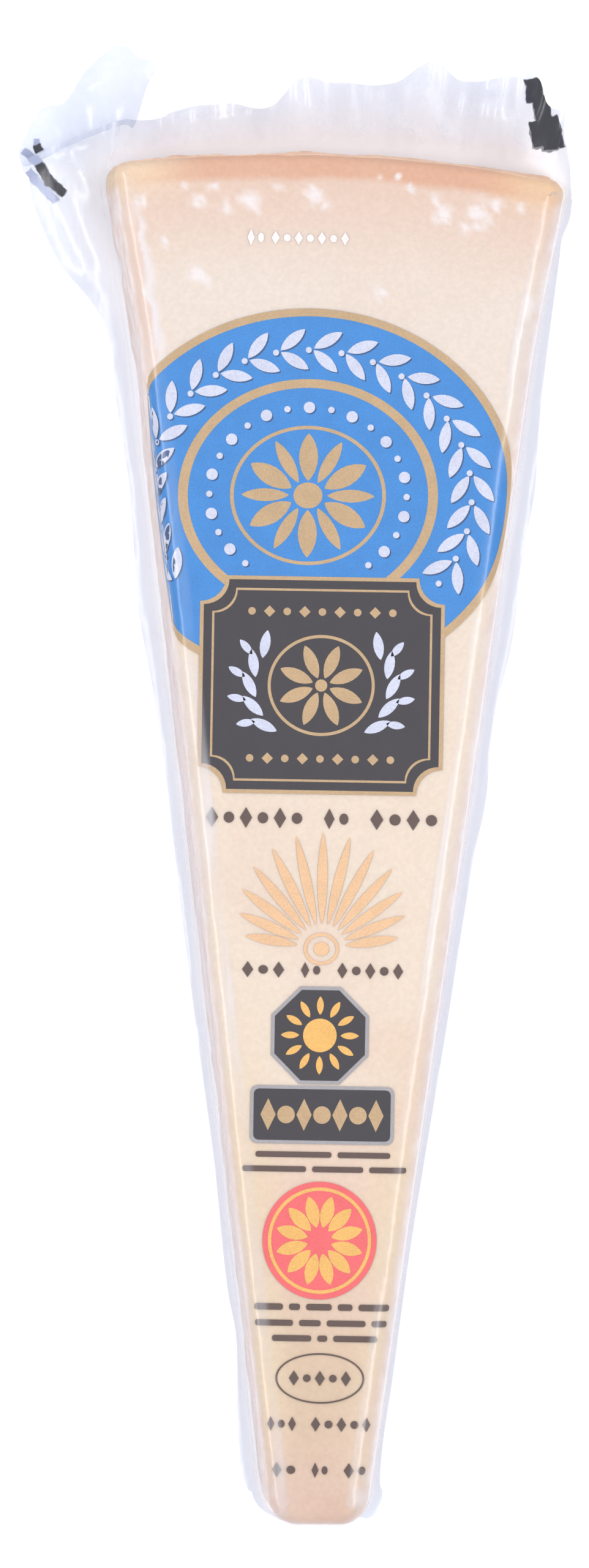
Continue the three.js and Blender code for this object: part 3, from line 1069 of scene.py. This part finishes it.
def on_film(x, y, sink):
    """Place on the film for a place on the flat print, which wraps over the long edges."""
    side = -1 if x < 0 else 1
    edge = side_edge(side)
    half = half_width(y)
    slope = half_width(y + 0.5) - half_width(y - 0.5)
    out = Vector((side, -slope)).normalized()
    inset = (half - abs(x)) * out.x * side
    past = edge - inset
    if past <= 0:
        return Vector((x, y, THICKNESS - sink - shoulder(inset)))
    base = Vector((x, y)) - out * past
    drop = shoulder(edge)
    angle = past / edge
    if angle <= math.pi / 2:
        bend = edge - sink
        at = base + out * (bend * math.sin(angle))
        return Vector((at.x, at.y, THICKNESS - drop - edge + bend * math.cos(angle)))
    down = past - edge * math.pi / 2
    lean = (LEFT_LEAN if side < 0 else RIGHT_LEAN) * (down + edge) / THICKNESS
    at = base + out * (edge - sink + lean)
    return Vector((at.x, at.y, THICKNESS - drop - edge - down))


class Print:
    """Flat shapes of one ink, in millimetres on the face, laid on the film when finished."""

    def __init__(self, name, material, slot, sink, grid=1.2):
        self.name, self.material, self.slot, self.sink, self.grid = name, material, slot, sink, grid
        self.bm = bmesh.new()

    def _place(self, verts, size, centre, turn):
        bmesh.ops.scale(self.bm, vec=(*size, 1), verts=verts)
        bmesh.ops.rotate(self.bm, matrix=Matrix.Rotation(math.radians(turn), 3, "Z"), verts=verts)
        bmesh.ops.translate(self.bm, vec=(*centre, 0), verts=verts)

    def disc(self, centre, size, steps=96, turn=0):
        made = bmesh.ops.create_circle(self.bm, cap_ends=True, segments=steps, radius=1)
        self._place(made["verts"], size, centre, turn)

    def ring(self, centre, size, width, steps=128):
        edges = []
        for radii in (size, (size[0] - width[0], size[1] - width[1])):
            made = bmesh.ops.create_circle(self.bm, segments=steps, radius=1)
            self._place(made["verts"], radii, centre, 0)
            edges += list({edge for vert in made["verts"] for edge in vert.link_edges})
        bmesh.ops.bridge_loops(self.bm, edges=edges)

    def bar(self, centre, size, round_share):
        """Bar with round corners, their radius given as a share of its narrow side."""
        verts = bmesh.ops.create_grid(self.bm, x_segments=1, y_segments=1, size=0.5)["verts"]
        bmesh.ops.scale(self.bm, vec=(*size, 1), verts=verts)
        cut = bmesh.ops.bevel(
            self.bm, geom=verts, offset=min(size) * round_share, segments=3, profile=0.5,
            affect="VERTICES", material=-1,
        )
        verts = list({vert for face in cut["faces"] for vert in face.verts} | set(cut["verts"]))
        bmesh.ops.translate(self.bm, vec=(*centre, 0), verts=verts)

    def leaf(self, centre, length, width, turn=0):
        """Pointed leaf, its length along the turned X."""
        made = bmesh.ops.create_circle(self.bm, cap_ends=True, segments=20, radius=1)
        for vert in made["verts"]:
            vert.co.y *= abs(vert.co.y) ** 0.7
        self._place(made["verts"], (length / 2, width / 2), centre, turn)

    def petals(self, centre, reach, count, start, length, widths):
        """Ring of leaves that point outwards, whose widths take turns."""
        for i in range(count):
            angle = start + i * 360 / count
            self.leaf(around(centre, reach, angle), length, widths[i % len(widths)], angle)

    def beads(self, centre, gap, reach, odd, even):
        """Row of shapes that take turns, each given as its size and its number of sides."""
        for i in range(-reach, reach + 1):
            size, sides = odd if i % 2 else even
            self.disc((centre[0] + i * gap, centre[1]), size, sides)

    def outline(self, points):
        self.bm.faces.new([self.bm.verts.new((x, y, 0)) for x, y in points])

    def finish(self):
        bm = self.bm
        cut_grid(bm, self.grid)
        for vert in bm.verts:
            vert.co = on_film(vert.co.x, vert.co.y, self.sink)
        thicken(bm, INK_THICKNESS)
        finished(self.name, bm, self.material, self.slot)


INK_SINK = 0.17
INK_THICKNESS = 0.012
PLAQUE = (-1.4, 12.8)
PLAQUE_TOP = 28.2
PALM = (-0.8, -21.6)
TILE = (-0.8, -32.9)
PLATE = (-0.35, -43.3)
SEAL = (-0.4, -59.7)
STAMP = (-0.05, -77.7)

# Rows of beads and lozenges: centre, width and height, beads in each group
PALE_ROWS = (((-10.9, 71.2), (2.6, 2.3), (2,)), ((-3.8, 71.2), (10.6, 1.8), (7,)))
BEAD_ROWS = (
    ((-1.0, -4.6), (31.0, 2.7), (7, 2, 5)), ((-0.6, -24.4), (21.6, 2.1), (4, 2, 6)),
    ((0.0, -83.7), (14.2, 1.9), (3, 6)), ((0.15, -89.7), (13.2, 2.0), (3, 2, 3)),
)
# Lines of short dashes: centre, width and height, share of each dash
DASH_LINES = (
    ((-0.15, -48.5), (17.6, 0.75), (13, 9)), ((0.15, -50.4), (21.6, 0.75), (10, 8, 6)),
    ((0.15, -68.4), (18.0, 0.85), (8, 3, 7, 4, 9)), ((0.05, -70.5), (17.6, 0.8), (9, 5, 9, 4)),
    ((0.5, -72.5), (13.8, 0.8), (8, 2, 9)),
)


def around(centre, size, degrees):
    angle = math.radians(degrees)
    return centre[0] + size[0] * math.cos(angle), centre[1] + size[1] * math.sin(angle)


def spread(centre, width, parts, gap):
    """Centres and widths of parts laid side by side, with gaps, over a width."""
    unit = (width - gap * (len(parts) - 1)) / sum(parts)
    place = centre - width / 2
    for part in parts:
        yield place + part * unit / 2, part * unit
        place += part * unit + gap


def bead_rows(sheet, rows):
    """Prints rows of groups in which lozenges and beads take turns."""
    for (x, y), (width, height), groups in rows:
        for middle, length in spread(x, width, groups, height * 0.8):
            count = max(round(length * sum(groups) / width), 1)
            for i in range(count):
                size = (length / count * 0.36, height / 2)
                if i % 2:
                    size = (size[0] * 0.85, height * 0.27)
                sheet.disc((middle + length * ((i + 0.5) / count - 0.5), y), size, 24 if i % 2 else 4)


class PrintRoom:
    """Starts each sheet of print, with one material for each ink."""

    def __init__(self, settings):
        self.settings = settings

    def sheet(self, name, ink, layer, slot=None, grid=1.2):
        title = ink + " ink"
        material = bpy.data.materials.get(title) or ink_material(title, getattr(self.settings, ink))
        sink = INK_SINK - layer * self.settings.layer / MM
        return Print(name, material, slot or "ink_" + ink, sink, grid)


class WEDGE_OT_medallion(bpy.types.Operator):
    """Prints the blue medallion with gold rings, a wreath of white leaves and a gold rosette"""

    bl_idname = "wedge.medallion"
    bl_label = "Medallion"

    def execute(self, context):
        room = PrintRoom(context.scene.wedge_print)
        blue = room.sheet("medallion_field", "blue", 0)
        blue.disc(MEDALLION, (26.5, 23.5), 160)
        blue.finish()
        gold = room.sheet("medallion_gold", "gold", 1)
        gold.ring(MEDALLION, MEDALLION_RIM, (1.0, 1.0), 160)
        gold.ring(MEDALLION, (17.0, 15.2), (1.3, 1.15), 128)
        gold.petals(MEDALLION, (5.6, 5.0), 12, 0, 6.2, (1.7, 2.5))
        gold.ring(MEDALLION, (10.2, 9.1), (0.5, 0.45), 96)
        gold.disc(MEDALLION, (1.9, 1.7), 32)
        gold.finish()
        for name, ink, layer, shift in (
            ("wreath_shade", "shade", 1, (0.16, -0.16)), ("wreath", "white", 2, (0, 0)),
        ):
            leaves = room.sheet(name, ink, layer, "ink_black" if ink == "shade" else None)
            centre = (MEDALLION[0] + shift[0], MEDALLION[1] + shift[1])
            for i in range(22):
                angle = 211 - i * 242 / 21
                for tilt, radius in ((36, 23.0), (-36, 19.9)):
                    spot = around(centre, (radius, radius * 0.887), angle)
                    leaves.leaf(spot, 4.2, 1.5, angle - 90 + tilt)
                leaves.disc(around(centre, (21.4, 19.0), angle - 5.2), (0.4, 0.4), 16)
            for i in range(28):
                spot = around(centre, (12.9, 11.5), i * 360 / 28)
                if spot[1] > PLAQUE_TOP:
                    size = (0.75, 0.75) if i % 2 else (0.42, 0.42)
                    leaves.disc(spot, size, 20)
            leaves.finish()
        return {"FINISHED"}


def ticket(centre, width, height, bite, steps=8):
    """Outline of a plaque with hollow corners, anticlockwise."""
    for across, up, start in ((1, 1, 270), (-1, 1, 0), (-1, -1, 90), (1, -1, 180)):
        corner = (centre[0] + across * width / 2, centre[1] + up * height / 2)
        for i in range(steps + 1):
            yield around(corner, (bite, bite), start - 90 * i / steps)


class WEDGE_OT_plaque(bpy.types.Operator):
    """Prints the black plaque with gold borders, a ringed rosette and white sprigs"""

    bl_idname = "wedge.plaque"
    bl_label = "Plaque"

    def execute(self, context):
        room = PrintRoom(context.scene.wedge_print)
        for name, ink, layer, width, bite in (
            ("plaque_rim", "gold", 2, 32, 3.4), ("plaque_field", "black", 3, 31, 3.3),
            ("plaque_line", "gold", 4, 28.8, 3.1), ("plaque_heart", "black", 5, 28.2, 3.0),
        ):
            plate = room.sheet(name, ink, layer)
            plate.outline(list(ticket(PLAQUE, width, width - 3.6, bite)))
            plate.finish()
        gold = room.sheet("plaque_gold", "gold", 6)
        gold.ring(PLAQUE, (7.0, 6.6), (0.4, 0.4), 96)
        gold.petals(PLAQUE, (3.5, 3.3), 8, 22.5, 4.6, (1.7,))
        gold.disc(PLAQUE, (0.8, 0.8), 24)
        for rise in (-9.6, 9.6):
            gold.beads((PLAQUE[0], PLAQUE[1] + rise), 2.3, 4, ((0.75, 0.75), 4), ((0.5, 0.5), 20))
        gold.finish()
        white = room.sheet("plaque_white", "white", 6)
        for side in (-1, 1):
            for i in range(5):
                angle = (i - 2) * 19
                spot = around(PLAQUE, (side * 9.4, 8.6), angle)
                white.leaf(spot, 3.7, 1.35, side * (angle + 62))
                if i < 4:
                    spot = around(PLAQUE, (side * 11.2, 10.4), angle + 9)
                    white.leaf(spot, 2.5, 1.0, side * (angle + 30))
        white.finish()
        return {"FINISHED"}


class WEDGE_OT_small_print(bpy.types.Operator):
    """Prints the brown rows of beads and dashes, the faint palm leaf and the oval stamp"""

    bl_idname = "wedge.small_print"
    bl_label = "Small print"

    def execute(self, context):
        room = PrintRoom(context.scene.wedge_print)
        pale = room.sheet("pale_row", "pale", 0, "ink_white")
        bead_rows(pale, PALE_ROWS)
        pale.finish()
        brown = room.sheet("small_print", "brown", 0)
        bead_rows(brown, BEAD_ROWS)
        for (x, y), (width, height), words in DASH_LINES:
            for middle, length in spread(x, width, words, 0.8):
                brown.bar((middle, y), (length, height), 0.4)
        brown.ring(STAMP, (5.8, 3.3), (0.22, 0.22), 96)
        brown.beads(STAMP, 1.7, 2, ((0.5, 0.5), 20), ((0.65, 1.0), 4))
        brown.finish()
        palm = room.sheet("palm_leaf", "faint", 0, "ink_gold")
        for i in range(-6, 7):
            angle = 90 + i * 13.5
            length = 12.0 - 0.14 * i * i
            palm.leaf(around(PALM, (3.2 + length / 2, 3.2 + length / 2), angle), length, 1.3, angle)
        palm.ring(PALM, (2.3, 2.1), (0.4, 0.4), 48)
        palm.disc(PALM, (1.0, 0.9), 32)
        palm.finish()
        return {"FINISHED"}


class WEDGE_OT_badges(bpy.types.Operator):
    """Prints the dark tile with its sun, the plate below it and the red and amber flower"""

    bl_idname = "wedge.badges"
    bl_label = "Badges"

    def execute(self, context):
        room = PrintRoom(context.scene.wedge_print)
        rims = room.sheet("badge_rims", "silver", 0)
        rims.disc(TILE, (6.9, 6.9), 8, 22.5)
        rims.bar(PLATE, (18.8, 7.6), 0.12)
        rims.finish()
        fields = room.sheet("badge_fields", "black", 1)
        fields.disc(TILE, (6.4, 6.4), 8, 22.5)
        fields.bar(PLATE, (17.9, 6.7), 0.1)
        fields.finish()
        amber = room.sheet("badge_suns", "amber", 2)
        amber.petals(TILE, (3.9, 3.9), 12, 0, 2.4, (0.9,))
        amber.petals(SEAL, (3.7, 3.85), 12, 15, 4.2, (1.75,))
        amber.ring(SEAL, (6.75, 6.95), (0.45, 0.45), 96)
        amber.disc(TILE, (2.2, 2.2), 40)
        amber.finish()
        gold = room.sheet("plate_lozenges", "gold", 2)
        gold.beads(PLATE, 2.35, 3, ((1.0, 2.1), 4), ((1.15, 1.15), 24))
        gold.finish()
        red = room.sheet("flower_field", "red", 0)
        red.disc(SEAL, (7.45, 7.7), 96)
        red.finish()
        return {"FINISHED"}


# Stage


class WedgeStageSettings(bpy.types.PropertyGroup):
    floor: colour_property("Floor", "Colour of the pale floor", (0.94, 0.94, 0.94))
    world: FloatProperty(name="Surrounding light", description="Strength of the white surroundings",
                         default=1.0, min=0)
    strip_power: FloatProperty(name="Side lights", description="Power of each long side light",
                               default=1.2, min=0, unit="POWER")
    camera_height: FloatProperty(name="Camera height", description="From the face to the camera",
                                 default=2.0, min=0.1, unit="LENGTH")


PICTURE_HEIGHT = 204.8
PICTURE_CENTRE = (-4.67, -0.12)
PICTURE_ROLL = 0.9685
SENSOR = 36
FLOOR_REACH = 6000
FLOOR_DROP = 0.2
SKY = (0.98, 0.985, 1, 1)

# Side lights: width and length, distance to the side and height, in metres
STRIP_SIZE = (0.07, 0.45)
STRIP_PLACE = (0.22, 0.45)


class WEDGE_OT_stage(bpy.types.Operator):
    """Sets the pale floor, the soft lights and the camera over the face"""

    bl_idname = "wedge.stage"
    bl_label = "Stage"

    def execute(self, context):
        settings = context.scene.wedge_stage
        scene = context.scene
        self.floor(settings)
        world = bpy.data.worlds.new("white room")
        world.use_nodes = True
        background = world.node_tree.nodes["Background"].inputs
        background["Color"].default_value = SKY
        background["Strength"].default_value = settings.world
        scene.world = world
        for side in (-1, 1):
            self.strip(side, settings)
        self.camera(scene, settings)
        scene.view_settings.view_transform = "Standard"
        return {"FINISHED"}

    def floor(self, settings):
        bm = bmesh.new()
        bmesh.ops.create_grid(bm, x_segments=8, y_segments=8, size=FLOOR_REACH)
        bmesh.ops.translate(bm, vec=(0, 0, -FLOOR_DROP), verts=bm.verts)
        material, tree = new_material("pale floor")
        shader = add_node(
            tree, "ShaderNodeBsdfPrincipled",
            {"Base Color": (*settings.floor, 1), "Roughness": 0.9, "Specular IOR Level": 0.1},
        )
        to_surface(tree, shader)
        mesh_object("floor", bm, material)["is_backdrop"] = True

    def strip(self, side, settings):
        data = bpy.data.lights.new("side light", "AREA")
        data.shape = "RECTANGLE"
        data.size, data.size_y = STRIP_SIZE
        data.energy = settings.strip_power
        light = bpy.data.objects.new("side light", data)
        light.visible_camera = False
        light.location = (side * STRIP_PLACE[0], 0, STRIP_PLACE[1])
        light.rotation_euler = (0, side * math.atan2(*STRIP_PLACE), 0)
        bpy.context.scene.collection.objects.link(light)

    def camera(self, scene, settings):
        data = bpy.data.cameras.new("camera")
        data.sensor_fit = "AUTO"
        data.sensor_width = SENSOR
        distance = settings.camera_height
        data.lens = SENSOR * distance / (PICTURE_HEIGHT * MM)
        data.clip_end = 20
        camera = bpy.data.objects.new("camera", data)
        camera.location = (
            PICTURE_CENTRE[0] * MM, PICTURE_CENTRE[1] * MM, THICKNESS * MM + distance
        )
        camera.rotation_euler = (0, 0, math.radians(PICTURE_ROLL))
        scene.collection.objects.link(camera)
        scene.camera = camera


class WEDGE_PT_panel(bpy.types.Panel):
    """Lists the pieces in the sidebar"""

    bl_idname = "WEDGE_PT_panel"
    bl_label = "Cheese wedge"
    bl_space_type = "VIEW_3D"
    bl_region_type = "UI"
    bl_category = "Wedge"

    def draw(self, context):
        for operator in OPERATORS:
            self.layout.operator(operator.bl_idname)
        for name in SETTINGS:
            group = getattr(context.scene, name)
            box = self.layout.box()
            for key in group.bl_rna.properties.keys():
                if key not in {"rna_type", "name"}:
                    box.prop(group, key)


SETTINGS = {
    "wedge_cheese": WedgeCheeseSettings,
    "wedge_film": WedgeFilmSettings,
    "wedge_print": WedgePrintSettings,
    "wedge_stage": WedgeStageSettings,
}
OPERATORS = (
    WEDGE_OT_cheese, WEDGE_OT_film, WEDGE_OT_medallion, WEDGE_OT_plaque, WEDGE_OT_small_print,
    WEDGE_OT_badges, WEDGE_OT_stage,
)


def register():
    for name, group in SETTINGS.items():
        bpy.utils.register_class(group)
        setattr(bpy.types.Scene, name, PointerProperty(type=group))
    for cls in (*OPERATORS, WEDGE_PT_panel):
        bpy.utils.register_class(cls)


def unregister():
    for cls in (WEDGE_PT_panel, *reversed(OPERATORS)):
        bpy.utils.unregister_class(cls)
    for name, group in SETTINGS.items():
        delattr(bpy.types.Scene, name)
        bpy.utils.unregister_class(group)


def main():
    register()
    bpy.ops.wedge.stage()
    bpy.ops.wedge.cheese()
    bpy.ops.wedge.medallion()
    bpy.ops.wedge.plaque()
    bpy.ops.wedge.small_print()
    bpy.ops.wedge.badges()
    bpy.ops.wedge.film()
    sizes = {"cad": CAD_BOX, "visual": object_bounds()}
    {key: [list(corner) for corner in box] for key, box in sizes.items()}


if __name__ == "__main__":
    main()
